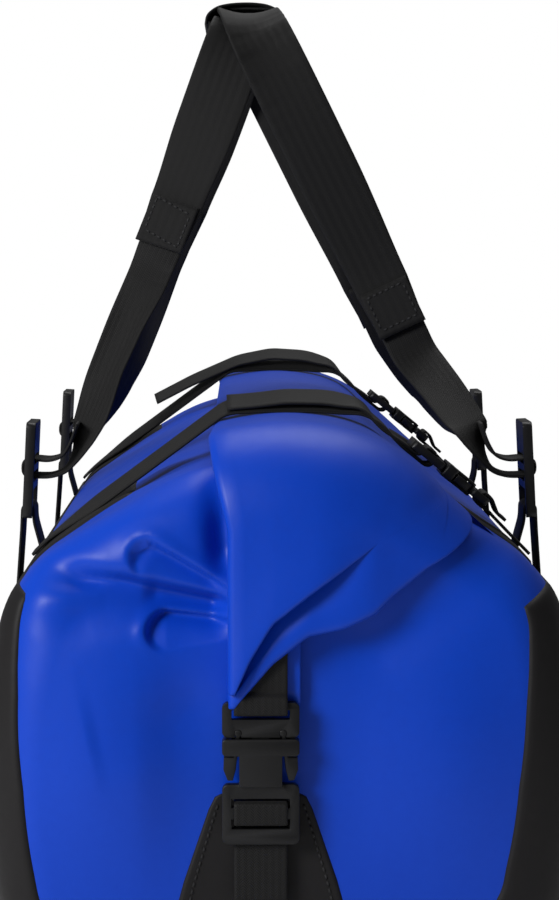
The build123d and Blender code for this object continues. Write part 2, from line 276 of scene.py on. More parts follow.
def webbing(name, colour, rib, pitch, depth, roughness):
    web = Finish(name, sheen_weight=0.03, sheen_roughness=0.5)
    split = web.node("SeparateXYZ", {}, [web.node("UVMap", {"uv_map": "Weave"})])
    along, across = split, Wire(web, split.socket.node.outputs[1])
    floats = (along + across.fold(rib) * slant).wave(pitch)
    ribs = across.fold(rib) * (1 / rib)
    fuzz = web.noise(2600, 1.0)
    wear = web.noise(60, 3.0, 0.6)
    height = floats * 0.55 + ribs * 0.35 + fuzz * 0.25
    # Painted shade: the weave's low floats and rib sides get the darker colour, because the tone follows the
    # same floats and ribs as the height map. The wear noise adds real uneven tone.
    weave_shade_and_wear = tuple(c * 0.45 for c in colour)
    tone = web.mix(floats * 0.45 + ribs * 0.25 + wear * 0.3, weave_shade_and_wear, colour)
    return web.finished(tone, fuzz * 0.15 + (roughness - 0.07), height, depth)


narrow_webbing = webbing("flat_webbing", (0.0075, 0.0073, 0.0075), 1.6 * mm, 1.3 * mm, 0.16 * mm, 0.66)
band_webbing = webbing("band_webbing", (0.0085, 0.0083, 0.0085), 2.4 * mm, 0.9 * mm, 0.12 * mm, 0.70)
wrap_cloth = webbing("wrap_cloth", (0.0070, 0.0070, 0.0072), 1.1 * mm, 1.1 * mm, 0.10 * mm, 0.72)
print("finishes so far:", len(bpy.data.materials))

# %% [markdown]
# ## Moulded plastic, hook tape, strip and thread
# Acetal buckles have a faint moulded texture and a satin gloss, duller where hands rub them. The hook tape is
# a field of tiny stubs. Thread and the mouth's grey strips are plastic too, so one function makes all three.


# %% Small finishes
def moulded_plastic(name, colour, roughness):
    plastic = Finish(name, coat_weight=0.08, coat_roughness=0.35)
    grain = plastic.noise(2200, 2.0)
    rub = plastic.noise(130, 4.0, 0.65)
    tone = plastic.mix(rub, tuple(c * 0.75 for c in colour), tuple(c * 1.25 for c in colour))
    gloss = rub * 0.16 + grain * 0.08 + (roughness - 0.12)
    return plastic.finished(tone, gloss, grain + rub * 0.4, 0.05 * mm)


def hook_tape():
    tape = Finish("hook_tape", sheen_weight=0.1)
    stubs = tape.node("TexVoronoi", {"feature": "F1"}, {"Vector": tape.place(), "Scale": 900.0}, "Distance")
    # Painted highlight and painted shade: the stub tops, high in the bump, get the lighter colour, and the gaps
    # between them get the darker one.
    tone = tape.mix(stubs, (0.05, 0.05, 0.052), (0.012, 0.012, 0.012))
    return tape.finished(tone, stubs * 0.2 + 0.5, 1 - stubs, 0.5 * mm)


buckle_plastic = moulded_plastic("moulded_plastic", (0.0080, 0.0080, 0.0085), 0.38)
strip_plastic = moulded_plastic("strip_plastic", (0.18, 0.18, 0.19), 0.5)
sewing_thread = moulded_plastic("sewing_thread", (0.020, 0.020, 0.021), 0.7)
hook_material = hook_tape()

paper = Finish("studio_paper")
paper_tone = paper.mix(paper.noise(9), (0.86, 0.86, 0.86), (0.90, 0.90, 0.90))
floor_mesh.materials.append(paper.finished(paper_tone, 0.9, paper.noise(700), 0.05 * mm))

# %% [markdown]
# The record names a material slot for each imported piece. Every piece gets its slot's finish, whether it stays
# in sight or is replaced below.

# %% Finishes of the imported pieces
finish_of_slot = {
    "shell_fabric": blue_cloth,
    "panel_fabric": black_cloth,
    "webbing": narrow_webbing,
    "band_webbing": band_webbing,
    "wrap_fabric": wrap_cloth,
    "hook_tape": hook_material,
    "buckle_plastic": buckle_plastic,
    "strip_plastic": strip_plastic,
}
slot_of_node = {part["node"]: part["material_slot"] for part in frame["record"]["subparts"]}
for node, piece in frame["nodes"].items():
    piece.data.materials.clear()
    piece.data.materials.append(finish_of_slot[slot_of_node[node]])
print("packed pieces with a finish:", len(slot_of_node))

# %% [markdown]
# ## Closed skins from rings
# Cloth, webs and bands all become one kind of mesh: a stack of closed rings. A strip of faces joins each ring
# to the next, and the two end rings are closed across. If the volume inside comes out negative the faces look
# inwards, so they are turned round.


# %% Rings to a mesh
def new_piece(name, points, faces, finish, stands_for=(), weave=None):
    """A smooth mesh of quads with its Weave map, hiding the imported parts it stands for."""
    mesh = bpy.data.meshes.new(name)
    mesh.vertices.add(len(points))
    mesh.vertices.foreach_set("co", np.ascontiguousarray(points, np.float32).ravel())
    mesh.loops.add(faces.size)
    mesh.loops.foreach_set("vertex_index", np.ascontiguousarray(faces, np.int32).ravel())
    mesh.polygons.add(len(faces))
    mesh.polygons.foreach_set("loop_start", np.arange(0, faces.size, 4, dtype=np.int32))
    mesh.polygons.foreach_set("use_smooth", np.ones(len(faces), bool))
    mesh.update()
    if weave is not None:
        layer = mesh.uv_layers.new(name="Weave")
        layer.data.foreach_set("uv", np.ascontiguousarray(weave[faces.ravel()], np.float32).ravel())
    mesh.materials.append(finish)
    piece = bpy.data.objects.new(name, mesh)
    bpy.context.scene.collection.objects.link(piece)
    if stands_for:
        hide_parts(*stands_for)
    return piece


def ring_faces(rows, count):
    """Quads between neighbouring rings of count points, and a strip of quads across each end ring."""
    row, spot = np.meshgrid(np.arange(rows - 1), np.arange(count), indexing="ij")
    a = row * count + spot
    b = row * count + (spot + 1) % count
    wall = np.stack([a, b, b + count, a + count], -1).reshape(-1, 4)
    near = np.arange(count // 2 - 1)
    cap = np.stack([near, count - 1 - near, count - 2 - near, near + 1], -1)
    return np.concatenate([wall, cap, cap[:, ::-1] + (rows - 1) * count])


def inside_volume(points, faces):
    """Sum over the faces of the volume each spans with the origin; positive if they look outwards."""
    a, b, c, d = (points[faces[:, k]] for k in range(4))
    return (np.einsum("ij,ij->i", a, np.cross(b, c)) + np.einsum("ij,ij->i", a, np.cross(c, d))).sum() / 6


def skin_of_rings(name, rings, finish, stands_for=(), weave=None):
    """Closed mesh through rings, an array of (ring, point, xyz)."""
    rows, count, _ = rings.shape
    points, faces = rings.reshape(-1, 3), ring_faces(rows, count)
    if inside_volume(points, faces) < 0:
        faces = faces[:, ::-1]
    weave = None if weave is None else weave.reshape(-1, 2)
    return new_piece(name, points, faces, finish, stands_for, weave)


# %% [markdown]
# ## Straps as ribbons
# Webbing keeps its width and thickness and only bends and twists, so it is one flat profile with rounded
# edges carried along a path. At each place the profile needs the direction across the web; the thickness then
# points along the cross product. A cup angle curls the profile round its own length, as a hand does with a
# carry handle.


# %% Paths and ribbons
def rounded(points, bend, steps=6):
    """A path with its corners rounded: each becomes the parabola between two points bend away from it."""
    points = np.asarray(points, float)
    before, corner, after = points[:-2], points[1:-1], points[2:]
    back, on = before - corner, after - corner
    far_back, far_on = np.linalg.norm(back, axis=1), np.linalg.norm(on, axis=1)
    reach = np.minimum(bend, 0.49 * np.minimum(far_back, far_on))[:, None]
    start, end = corner + back / far_back[:, None] * reach, corner + on / far_on[:, None] * reach
    t = np.linspace(0, 1, steps)[None, :, None]
    curve = (1 - t) ** 2 * start[:, None] + 2 * t * (1 - t) * corner[:, None] + t**2 * end[:, None]
    return np.concatenate([points[:1], curve.reshape(-1, points.shape[1]), points[-1:]])


def length_along(path):
    return np.concatenate([[0], np.cumsum(np.linalg.norm(np.diff(path, axis=0), axis=1))])


def divided(path, step, *others):
    """The path and its companion arrays with points added so that no run is longer than step."""
    way = length_along(path)
    fine = np.linspace(0, way[-1], int(way[-1] / step) + 2)
    ways = np.unique(np.round(np.concatenate([way, fine]), 7))
    ways = ways[np.concatenate([[True], np.diff(ways) > step * 0.05])]
    return [np.stack([np.interp(ways, way, row) for row in np.asarray(values, float).T], -1)
            for values in (path, *others)]


def smooth_step(value, low=0.0, high=1.0):
    t = np.clip((value - low) / (high - low), 0, 1)
    return t * t * (3 - 2 * t)


edge_share = np.array([-1, -0.985, -0.93, -0.8, -0.5, -0.2, 0.2, 0.5, 0.8, 0.93, 0.985, 1])
edge_rise = np.array([0.25, 0.7, 0.95, 1, 1, 1, 1, 1, 1, 0.95, 0.7, 0.25])


def ribbon_rings(path, across, width, thick, cup=0.0):
    """Rings of a web. Each is its profile, top side then underside: share x half the width along across, and
    rise x half the thickness along the normal. A cup angle wraps the share round an arc of that angle."""
    along = np.gradient(path, axis=0)
    along /= np.linalg.norm(along, axis=1)[:, None]
    across = across - (across * along).sum(1)[:, None] * along
    across /= np.linalg.norm(across, axis=1)[:, None]
    normal = np.cross(along, across)
    share = np.concatenate([edge_share, edge_share[::-1]])
    rise = np.concatenate([edge_rise, -edge_rise[::-1]]) * thick / 2
    angle = np.broadcast_to(np.asarray(cup, float) + 1e-6, len(path))[:, None]
    width = np.broadcast_to(np.asarray(width, float), len(path))[:, None]
    arc_radius = width / angle
    spot = share[None] * angle / 2
    aside = (arc_radius + rise[None]) * np.sin(spot)
    above = (arc_radius + rise[None]) * np.cos(spot) - arc_radius
    rings = path[:, None] + aside[..., None] * across[:, None] + above[..., None] * normal[:, None]
    way = length_along(path)
    weave = np.stack(np.broadcast_arrays(way[:, None], share[None] * width / 2), -1)
    return rings, weave


def joined(parts):
    """Several (rings, weave) runs as one set of points, faces and map, each run a closed skin."""
    points, faces, weaves, first = [], [], [], 0
    for rings, weave in parts:
        rows, count, _ = rings.shape
        spots, quads = rings.reshape(-1, 3), ring_faces(rows, count)
        quads = quads[:, ::-1] if inside_volume(spots, quads) < 0 else quads
        points.append(spots)
        faces.append(quads + first)
        weaves.append(weave.reshape(-1, 2))
        first += len(spots)
    return np.concatenate(points), np.concatenate(faces), np.concatenate(weaves)


# %% [markdown]
# ## The bag's skin
# A filled bag has a flat floor, full sides and sloping shoulders. Its cross-section is four arcs a side that
# flow into each other. The ends are rounded over and then run flat to a hub. Everything that lies on the bag,
# such as panels, patches and folds, asks this one function for its place, so nothing floats or sinks.

# %% The skin
low, high = (np.array(corner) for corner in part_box("bag_shell"))
floor_z, bag_half = low[2], high[1]
end_round = 28 * mm
straight = bag_half - end_round
turns = ((58 * mm, 80), (317 * mm, 103), (60 * mm, 146), (600 * mm, 151))
floor_half_width = 80 * mm
hub = np.array([-11 * mm, 118 * mm])
face_reach = 0.12


def section_arcs():
    """Rows of radius, heading at the start, centre x and z, and length, from the floor up to the top."""
    heading, spot, rows = 0.0, np.array([floor_half_width, floor_z]), []
    for radius, reached in (*turns, (None, 180)):
        if radius is None:
            radius = spot[0] / math.sin(heading)
        reached = math.radians(reached)
        centre = spot - radius * np.array([math.sin(heading), -math.cos(heading)])
        rows.append((radius, heading, *centre, radius * (reached - heading)))
        spot = centre + radius * np.array([math.sin(reached), -math.cos(reached)])
        heading = reached
    return np.array(rows)


arcs = section_arcs()
arc_starts = floor_half_width + np.concatenate([[0], np.cumsum(arcs[:-1, 4])])
half_girth = arc_starts[-1] + arcs[-1, 4]


def section(share):
    """Place and normal in the cross-section, by the share of the way from the floor's middle, 0, up the right
    side to the top's middle, 1, or up the left side to -1."""
    way = np.abs(share) * half_girth
    which = np.clip(np.searchsorted(arc_starts, way, side="right") - 1, 0, len(arcs) - 1)
    radius, heading, centre_x, centre_z = (arcs[which, k] for k in range(4))
    heading = heading + (way - arc_starts[which]) / radius
    flat = way < floor_half_width
    nx, nz = np.where(flat, 0, np.sin(heading)), np.where(flat, -1, -np.cos(heading))
    x = np.where(flat, way, centre_x + radius * nx)
    z = np.where(flat, floor_z, centre_z + radius * nz)
    hand = np.where(share < 0, -1.0, 1.0)
    return x * hand, z, nx * hand, nz


table_share = np.linspace(floor_half_width / half_girth, 1, 900)
table_x, table_z = section(table_share)[:2]
top_rows = table_share > 0.55


def share_at_height(z):
    return np.interp(z, table_z, table_share)


def share_on_top(x):
    """Share of the place at x across the top and shoulders."""
    share = np.interp(-np.abs(x), -table_x[top_rows], table_share[top_rows])
    return np.where(x < 0, -share, share)


print(f"girth {2 * half_girth:.3f} m, length {2 * bag_half:.3f} m, top at {table_z[-1]:.4f} m")

# %% [markdown]
# ## Creases of the end
# Where the roll is folded down over the end, the stiff cloth has to lose its spare width. It does that in a
# long crease from the shoulder, two pinched pleats that point at the fold, and hollows round the fold's
# edges. Each is a small function of the distance to a line, and they simply add up. Below the pleats the
# cloth is pushed out by what is packed inside.


# %% Relief
def to_line(x, z, points):
    """Distance to a chain of runs, signed positive above it, and the share of the way along it."""
    points = np.asarray(points, float) * mm
    best, share, way = np.full(np.shape(x), 1.0), np.zeros(np.shape(x)), length_along(points)
    for k in range(len(points) - 1):
        run = points[k + 1] - points[k]
        t = np.clip(((x - points[k, 0]) * run[0] + (z - points[k, 1]) * run[1]) / (run @ run), 0, 1)
        dx, dz = x - points[k, 0] - t * run[0], z - points[k, 1] - t * run[1]
        distance = np.hypot(dx, dz)
        signed = np.where(run[0] * dz - run[1] * dx > 0, distance, -distance)
        nearer = distance < np.abs(best)
        best = np.where(nearer, signed, best)
        share = np.where(nearer, (way[k] + t * (way[k + 1] - way[k])) / way[-1], share)
    return best, share


def groove(x, z, points, depth, width, end_width, upper):
    """A soft groove, or a ridge if depth is negative, along a line. Its width changes from width to end_width
    and is upper times as wide above the line; both ends fade out."""
    distance, share = to_line(x, z, points)
    spread = (width + (end_width - width) * share) * mm
    spread = np.where(distance > 0, spread * upper, spread)
    fade = smooth_step(share, 0, 0.3) * smooth_step(share, 1.02, 0.9)
    return -depth * mm * np.exp(-((distance / spread) ** 2)) * fade


def pinched_pleat(x, z, root, tip, radius, depth):
    """A finger of cloth tucked under its upper edge. Its outline is a blunt finger that widens from the root
    to the tip. Just inside the upper edge the cloth drops steeply, then it climbs back to the lower edge.
    Outside the upper edge and the tip it stands up as a soft lip."""
    root, tip, radius = np.array(root) * mm, np.array(tip) * mm, radius * mm
    run = tip - root
    t = np.clip(((x - root[0]) * run[0] + (z - root[1]) * run[1]) / (run @ run), 0, 1)
    dx, dz = x - root[0] - t * run[0], z - root[1] - t * run[1]
    reach = radius * (0.45 + 0.55 * t)
    run = run / np.linalg.norm(run)
    above = np.array([run[1], -run[0]]) + 0.55 * run
    height = (dx * above[0] + dz * above[1]) / np.linalg.norm(above) / reach
    inside = reach - np.hypot(dx, dz)
    climb = np.clip(0.5 + 0.5 * height, 0, 1)
    drop = smooth_step(inside, -1.0 * mm, 2.6 * mm) * climb**1.3
    lip = np.exp(-(((inside + 2.4 * mm) / (3.0 * mm)) ** 2)) * climb**2
    fade = smooth_step(t, -0.1, 0.35)
    return mm * fade * (-depth * drop + 1.3 * lip)


# %% [markdown]
# The end's relief is written as three lists, in millimetres across and up the end: where the cloth swells,
# where a groove or ridge runs, and where a finger is pinched. A list is easier to tune than a formula.

# %% The end's swellings, grooves and pleats
swellings = (  # height, middle across and up, reach across and up
    (9, -82, 118, 40, 58),
    (7, 78, 112, 36, 62),
    (5, -72, 234, 30, 18),
)
grooves = (  # points, depth, width at the start and end, share of the width above the line
    ([(-124, 207), (-100, 203), (-70, 197), (-24, 187)], 11.0, 12, 7, 0.5),
    ([(-134, 190), (-110, 193), (-84, 196), (-60, 194)], -3.0, 9, 6, 1),
    ([(-120, 178), (-90, 184), (-60, 188), (-26, 186)], 3.5, 12, 5, 1),
    ([(-27, 196), (-29, 230), (-33, 262)], 9.0, 6, 9, 1),
    ([(-26, 150), (-56, 134), (-92, 126)], 1.5, 12, 20, 1),
    ([(10, 168), (44, 170), (74, 188), (114, 222)], 2.5, 14, 16, 1),
)
pleats = (  # root, tip, radius, depth
    ((-24, 191), (-63, 209), 9.0, 8.0),
    ((-22, 177), (-55, 176), 9.5, 8.5),
)


def end_relief(x, z):
    """How far the end face stands out, in metres, at a place across and up it."""
    beside_web = smooth_step(np.abs(x - hub[0]), 20 * mm, 60 * mm)
    relief = 0.0
    for height, across, up, wide, tall in swellings:
        fall = ((x - across * mm) / (wide * mm)) ** 2 + ((z - up * mm) / (tall * mm)) ** 2
        relief = relief + height * mm * np.exp(-fall) * beside_web
    for row in grooves:
        relief += groove(x, z, *row)
    for row in pleats:
        relief += pinched_pleat(x, z, *row)
    return relief


def side_relief(x, y, z):
    """Shallow slack on the shoulders between the straps, none where the side panels stiffen the cloth."""
    shoulder = smooth_step(z, 200 * mm, 232 * mm) * smooth_step(np.abs(x), 30 * mm, 60 * mm)
    ripple_along, ripple_across, beat, height = 58 * mm, 85 * mm, 17.0, 1.1 * mm
    drift = np.abs(y) / ripple_along + np.abs(x) / ripple_across
    return height * shoulder * np.sin(2 * math.pi * drift) * np.cos(y * beat)


def skin(share, run, lift=0.0, relief=1.0):
    """Place on the bag. run is metres along its length from the middle, over the end's rounding, which turns
    through a quarter circle, and on towards the hub of the end face. lift is metres out along the normal."""
    share, run = np.broadcast_arrays(np.asarray(share, float), np.asarray(run, float))
    x, z, nx, nz = section(share)
    past, out = np.abs(run) - straight, np.sign(run)
    turn = np.clip(past / end_round, 0, math.pi / 2)
    shrink = 1 - np.clip(past - end_round * math.pi / 2, 0, face_reach) / face_reach
    inset = end_round * (1 - np.cos(turn))
    x, z = x - nx * inset, z - nz * inset
    x, z = hub[0] + shrink * (x - hub[0]), hub[1] + shrink * (z - hub[1])
    y = out * (np.minimum(np.abs(run), straight) + end_round * np.sin(turn))
    normal = np.stack([nx * np.cos(turn), out * np.sin(turn), nz * np.cos(turn)], -1)
    raised = np.sin(turn) ** 2 * end_relief(x, z) + np.cos(turn) ** 2 * side_relief(x, y, z)
    return np.stack([x, y, z], -1) + (relief * raised + lift)[..., None] * normal


# %% [markdown]
# ## The body
# One closed skin holds the whole filled bag. A ring has more points where the pleats and creases are, on both
# shoulders of the end: the points are spaced evenly along the running sum of a closeness that peaks there.

# %% Body
points_round = 396
even = np.linspace(-1, 1, 2001)
closeness = 1 + 2.2 * np.exp(-(((even + 0.74) / 0.11) ** 2)) + 0.6 * np.exp(-(((even - 0.74) / 0.12) ** 2))
reached = np.concatenate([[0], np.cumsum((closeness[1:] + closeness[:-1]) / 2)])
around = np.interp((np.arange(points_round) + 0.5) / points_round, reached / reached[-1], even)
corner_run = straight + end_round * math.pi / 2
half_runs = np.concatenate([
    np.linspace(0, straight, 25)[1:],
    np.linspace(straight, corner_run, 18)[1:],
    corner_run + np.linspace(0, face_reach * 0.995, 84)[1:],
])
runs = np.concatenate([-half_runs[::-1], [0], half_runs])
body_rings = skin(around[None, :], runs[:, None])
bag = skin_of_rings("bag_body", body_rings, blue_cloth, ["bag_shell"])
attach(bag, "bag")
print("body quads:", len(bag.data.polygons))


# %% [markdown]
# ## Panels and patches
# The black panels are second layers of coated cloth welded over the blue one. Each is a thin slab on the
# skin's own function, thinned towards its welded edge, so that the border reads as a soft step and not as a
# cut plate. The side panels wrap round the corners of the ends.


# %% Slabs
def slab_rings(outer, inner):
    """Rings of a slab: along each row the outer side, then the inner side back again."""
    return np.concatenate([outer, inner[:, ::-1]], 1)


def edge_fall(rows, columns, row_share, column_share):
    """1 in the middle of a sheet and 0 at its border, rounded over the given shares of its two sizes."""
    u, v = np.linspace(0, 1, rows)[:, None], np.linspace(0, 1, columns)[None]
    rows_in, columns_in = np.minimum(u, 1 - u) / row_share, np.minimum(v, 1 - v) / column_share
    fall = np.clip(rows_in, 0, 1) * np.clip(columns_in, 0, 1)
    return np.sqrt(1 - (1 - fall) ** 2)


def welded_slab(name, place, rows, columns, thick, stands_for, shares):
    """A layer of black cloth on the bag. place(u, v, lift) gives the skin under the sheet's unit square."""
    u, v = np.meshgrid(np.linspace(0, 1, rows), np.linspace(0, 1, columns), indexing="ij")
    rise = edge_fall(rows, columns, *shares) * (thick + 0.3 * mm) - 0.2 * mm
    outer, inner = place(u, v, rise), place(u, v, np.full(u.shape, -0.6 * mm))
    piece = skin_of_rings(name, slab_rings(outer, inner), black_cloth, stands_for)
    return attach(piece, "bag")


panel_heights = np.array([26, 57, 102, 148, 196]) * mm
wrapped_round = {"left": np.array([22, 22, 21, 16, 7]) * mm, "right": np.array([36, 36, 33, 26, 16]) * mm}


def side_panel(side, hand):
    def place(u, v, lift):
        height = panel_heights[0] + v * (panel_heights[-1] - panel_heights[0])
        inset = np.interp(height, panel_heights, wrapped_round[side])
        turn = end_round * np.arccos(1 - np.minimum(inset, end_round) / end_round)
        reach = straight + turn + np.maximum(inset - end_round, 0) * 0.8
        return skin(hand * share_at_height(height), (2 * u - 1) * reach, lift)

    return welded_slab(f"side_panel_{side}_cloth", place, 240, 60, 1.3 * mm, [f"side_panel_{side}"],
                       (0.006, 0.03))


for side, hand in SIDES:
    print(side, "panel quads:", len(side_panel(side, hand).data.polygons))

# %% [markdown]
# The bottom panel is one sheet under the whole bag, turned up a little at its edges. On both shoulders a small
# patch spreads the pull of each compression strap.


# %% Bottom panel and strap patches
def bottom_place(u, v, lift):
    edge = share_at_height(25.5 * mm)
    return skin((2 * v - 1) * edge, (2 * u - 1) * (corner_run + 4 * mm), lift, 0.0)


def shoulder_place(hand, middle):
    lowest, rise, length = 199 * mm, 36 * mm, 58 * mm

    def place(u, v, lift):
        return skin(hand * share_at_height(lowest + rise * v), middle + (u - 0.5) * length, lift)

    return place


welded_slab("bottom_panel_cloth", bottom_place, 160, 60, 1.0 * mm, ["bottom_panel"], (0.01, 0.02))
strap_y = -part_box("near_strap")[0][1] - 10 * mm
for side, hand in SIDES:
    for end, out in ENDS:
        welded_slab(f"{end}_{side}_strap_patch", shoulder_place(hand, out * strap_y), 24, 20, 0.8 * mm,
                    [f"strap_patches_{side}"], (0.06, 0.06))
print("straps at y", round(strap_y, 4))


# %% [markdown]
# The trapezoid patch spreads the pull of the end web over the cloth. It lies on the end face, which is found
# by its x and z rather than by the girth.


# %% End patches
def end_point(out, x, z, lift):
    """Place on the end face at x and z, out along the bag's length by its relief and the lift."""
    return np.stack([x, out * (bag_half + end_relief(x, z) + lift), z], -1)


patch_rise = np.array([31, 44, 57, 76, 92, 98, 100]) * mm
patch_half = np.array([45, 40, 36.5, 30, 24.5, 21.5, 17]) * mm
buckle_x = (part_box("near_end_male")[0][0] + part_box("near_end_male")[1][0]) / 2


def patch_place(out):
    def place(u, v, lift):
        z = patch_rise[0] + u * (patch_rise[-1] - patch_rise[0])
        return end_point(out, buckle_x + (2 * v - 1) * np.interp(z, patch_rise, patch_half), z, lift)

    return place


for end, out in ENDS:
    welded_slab(f"{end}_patch_cloth", patch_place(out), 60, 60, 1.0 * mm, [f"{end}_end_patch"], (0.03, 0.03))
print("end patches round x", round(float(buckle_x), 4))

# %% [markdown]
# ## The rolled mouth and its folded ends
# The mouth is rolled round two strips into a flat bundle, and each end of the bundle is folded down over the
# bag's end. The outermost turn of cloth does not stop at the bundle: on the right it runs on into the wall.
# One sheet does all of this. Down its length it lies on the skin at a height that depends on how far across
# it is. Near its lower edge it is folded back on itself twice, which gives the two slanting pleats, and the
# folds grow shallower to the right until they vanish. A smooth curve is pulled towards each column's points.


# %% Drape and smooth columns
def drape(x, run, height):
    """Place height metres above the skin, run metres down the sheet from the bag's middle at a fixed x: along
    the top, round the end's quarter circle, then straight down the end."""
    _, top_z, nx, nz = section(share_on_top(x))
    turn = np.clip((run - straight) / end_round, 0, math.pi / 2)
    fallen = np.clip(run - corner_run, 0, None)
    nx, nz = nx * np.ones_like(run), nz * np.ones_like(run)
    base_x, base_z = x - nx * end_round, top_z - nz * end_round
    cos, sin = np.cos(turn) * (end_round + height), np.sin(turn) * (end_round + height)
    y = -np.minimum(run, straight) - sin
    return np.stack([base_x + nx * cos, y, base_z + nz * cos - fallen], -1)


def run_down_to(x, z):
    """How far down the sheet the height z is, at x."""
    _, top_z, _, nz = section(share_on_top(x))
    drop = top_z - z
    turn = np.arccos(np.clip(1 - drop / (end_round * nz), 0, 1))
    return straight + np.where(drop < end_round * nz, end_round * turn, end_round * (math.pi / 2 - nz) + drop)


def smooth_columns(control, steps=6):
    """Quadratic B-spline down each column: control is (point, column, value), the result has more points."""
    control = np.concatenate([control[:1], control, control[-1:]])
    t = np.linspace(0, 1, steps, endpoint=False)[None, :, None, None]
    first, middle, last = control[:-2, None], control[1:-1, None], control[2:, None]
    curve = 0.5 * ((1 - t) ** 2 * first + (1 + 2 * t - 2 * t**2) * middle + t**2 * last)
    end = 0.5 * (control[-2] + control[-1])[None]
    return np.concatenate([curve.reshape(-1, *control.shape[1:]), end])


# %% [markdown]
# The sheet's left edge is the hem that shows the roll's turns as three small bulges. To the right of it, knots
# give the sheet's place across and its height above the skin, once for the top and once for the end.

# %% The sheet across its width
roll_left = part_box("closure_roll")[0][0]
hem = np.linspace(-0.15, 1, 22)
sheet_share = np.linspace(0, 1, 96)[1:]
up_hem = np.clip(hem, 0, 1)
turns_showing = 1.7 * mm * (1 - np.abs(np.sin(3 * math.pi * up_hem)) ** 0.6)
left_x = roll_left + turns_showing + 2.4 * mm * up_hem**9
knots_top = np.array([-25, 0, 26, 38, 46, 53, 60, 68, 78, 90]) * mm
lifts_top = np.array([16, 17.4, 17.2, 15.8, 13, 9.2, 5.4, 2.6, 0.6, -2.0]) * mm
knots_face = np.array([-25, 0, 24, 46, 62, 76, 90, 102, 112, 117]) * mm
lifts_face = np.array([15.6, 16.4, 16, 13.4, 10.6, 7.8, 5, 2.4, 0.4, -2.0]) * mm
knot_share = np.linspace(0, 1, len(knots_top))


def profile(values):
    """Values at the knots carried smoothly over the sheet's columns, after the hem's own columns."""
    fine = np.interp(sheet_share, knot_share, values)
    pad = np.pad(fine, 4, mode="reflect", reflect_type="odd")
    return np.convolve(pad, np.ones(9) / 9, "valid")


x_top = np.concatenate([left_x - 2.2 * mm, profile(knots_top)])
x_face = np.concatenate([left_x - 4.4 * mm, profile(knots_face)])
rise_top = np.concatenate([hem * lifts_top[0], profile(lifts_top)])
rise_face = np.concatenate([hem * lifts_face[0], profile(lifts_face)])
hem_share = np.concatenate([hem, np.ones(len(sheet_share))])
print("columns of the sheet:", len(x_top))

# %% [markdown]
# Two lines across the end say where the sheet turns under: the upper pleat's edge and the lower edge. The
# columns follow them, tuck back behind them, and lose their tucks towards the right.

# %% Roll and folded ends
upper_x = np.array([-29, -27, -20, -7, 14, 35, 53, 70, 90, 112, 118]) * mm
upper_z = np.array([150, 154, 166, 183, 196, 208, 219, 226, 232, 238, 240]) * mm
lower_z = np.array([143, 146, 152, 164, 177, 180.5, 187, 200, 215, 230, 234]) * mm


def fold_columns():
    """Control points down every column, from the bag's middle to the lowest tuck."""
    x, full = x_face, rise_face
    upper, lower = np.interp(x, upper_x, upper_z), np.interp(x, upper_x, lower_z)
    pleat = smooth_step((56 * mm - x) / (40 * mm))
    tuck = smooth_step((114 * mm - x) / (50 * mm))
    first, second = run_down_to(x, upper), run_down_to(x, lower)
    inner = full * (1 - 0.50 * pleat)
    outer = full * (1 - 0.16 * pleat)
    under = outer * (1 - 0.45 * tuck)
    lip = 2.6 * mm * pleat * np.clip(hem_share, 0, 1)
    back_one, back_two = 13 * mm * pleat, 12 * mm * tuck
    rows = [(run, rise_top) for run in np.array([0, 45, 90, 135, 180, 215]) * mm]
    for part in (0.12, 0.24, 0.36, 0.5, 0.64, 0.8):
        run = 225 * mm + (first - 230 * mm) * part
        turned = smooth_step(run, straight - 25 * mm, corner_run)
        rows.append((run, rise_top + (full - rise_top) * turned + lip * part**4))
    rows += [(first - 5 * mm, full + lip), (first + 1.5 * mm, full + lip)]
    rows += [(first + 1.0 * mm, full - 2 * mm * pleat)]
    rows += [(first - back_one * 0.5, inner + 1 * mm * pleat), (first - back_one, inner)]
    rows += [(first - back_one * 0.3 + 1 * mm, inner * 0.8 + outer * 0.2)]
    between = second - first
    rows += [(first + between * 0.4, inner * 0.3 + outer * 0.7), (second - 6 * mm * tuck, outer)]
    rows += [(second + 2 * mm, outer), (second + 1.5 * mm, under), (second - back_two, under)]
    rows += [(second - back_two, np.full_like(under, -2 * mm))]
    return np.array([[np.broadcast_to(run, x.shape), rise] for run, rise in rows]).transpose(0, 2, 1)


def sheet_of_one_end():
    columns = smooth_columns(fold_columns())
    run, rise = columns[..., 0], columns[..., 1]
    mixing = smooth_step(run, straight - 60 * mm, corner_run)
    x = x_top[None] + (x_face - x_top)[None] * mixing
    return drape(x, run, rise)


flip_y = np.array([1, -1, 1])
near_sheet = sheet_of_one_end()
far_sheet = near_sheet * flip_y
roll_rings = np.concatenate([far_sheet[::-1][:-1], near_sheet])
if roll_rings.shape[1] % 2:
    roll_rings = roll_rings[:, :-1]
roll = skin_of_rings("rolled_mouth", roll_rings, blue_cloth, ["closure_roll"])
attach(roll, "bag")
print("roll quads:", len(roll.data.polygons), "lowest", round(float(roll_rings[..., 2].min()), 4))

# %% [markdown]
# ## Hard parts
# Buckles and ladder-locks are moulded, and no moulded edge is razor sharp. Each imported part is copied, its
# loose triangles are welded and its flat faces joined, and a bevel rounds the edges to catch the light. The
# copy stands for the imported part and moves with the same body.


